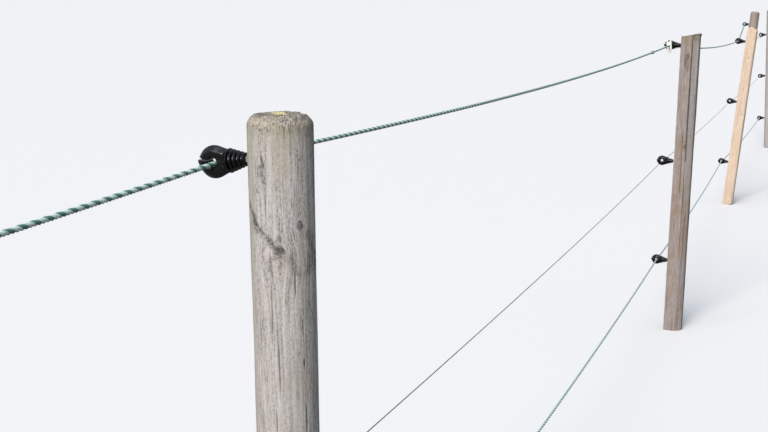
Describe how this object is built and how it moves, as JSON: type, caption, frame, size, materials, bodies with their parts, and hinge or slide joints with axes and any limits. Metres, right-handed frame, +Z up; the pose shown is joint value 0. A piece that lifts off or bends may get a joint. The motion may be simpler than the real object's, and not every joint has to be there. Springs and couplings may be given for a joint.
{
  "type": "electric fence",
  "caption": "Timber posts with black ribbed ring insulators screwed to one side, carrying two taut strands of twisted green and white electric rope and a thin dark wire between them",
  "frame": {"origin": "middle of the front post's foot, at ground level", "axes": "+X along the fence from the near end to the far end, +Y to the pasture side that carries the insulators, +Z up"},
  "size_m": [13.832, 0.305, 1.3547],
  "materials": {
    "weathered_wood": "silver-grey weathered softwood with cracks, knots and lichen",
    "split_wood": "rough split timber, pinkish brown where it is lit",
    "old_wood": "old grey-brown timber",
    "fresh_wood": "fresh pale split timber",
    "black_plastic": "glossy black moulded plastic",
    "zinc_screw": "zinc-plated",
    "twisted_rope": "three laid strands, pale and sea green, with fine wires",
    "dark_wire": "old dark twisted steel wire",
    "zinc_clamp": "dull galvanised",
    "bright_plate": "bright stainless"
  },
  "bodies": {
    "root": {"near_end_post": "weathered_wood", "front_post": "weathered_wood", "far_end_post": "weathered_wood", "split_post": "split_wood", "old_post": "old_wood", "fresh_stake": "fresh_wood", "near_end_top_insulator": "black_plastic", "near_end_middle_insulator": "black_plastic", "near_end_bottom_insulator": "black_plastic", "front_top_insulator": "black_plastic", "front_middle_insulator": "black_plastic", "front_bottom_insulator": "black_plastic", "split_top_insulator": "black_plastic", "split_middle_insulator": "black_plastic", "split_bottom_insulator": "black_plastic", "stake_top_insulator": "black_plastic", "stake_middle_insulator": "black_plastic", "stake_bottom_insulator": "black_plastic", "far_end_top_insulator": "black_plastic", "far_end_middle_insulator": "black_plastic", "far_end_bottom_insulator": "black_plastic", "old_top_insulator": "black_plastic", "near_end_screws": "zinc_screw", "front_screws": "zinc_screw", "split_screws": "zinc_screw", "stake_screws": "zinc_screw", "far_end_screws": "zinc_screw", "old_screw": "zinc_screw", "top_rope": "twisted_rope", "bottom_rope": "twisted_rope", "tie_rope": "twisted_rope", "near_end_clamps": "zinc_clamp", "far_end_clamps": "zinc_clamp", "tie_clamps": "zinc_clamp", "rope_sleeve": "zinc_clamp", "middle_wire": "dark_wire", "anchor_plate": "bright_plate"}
  },
  "joints": []
}
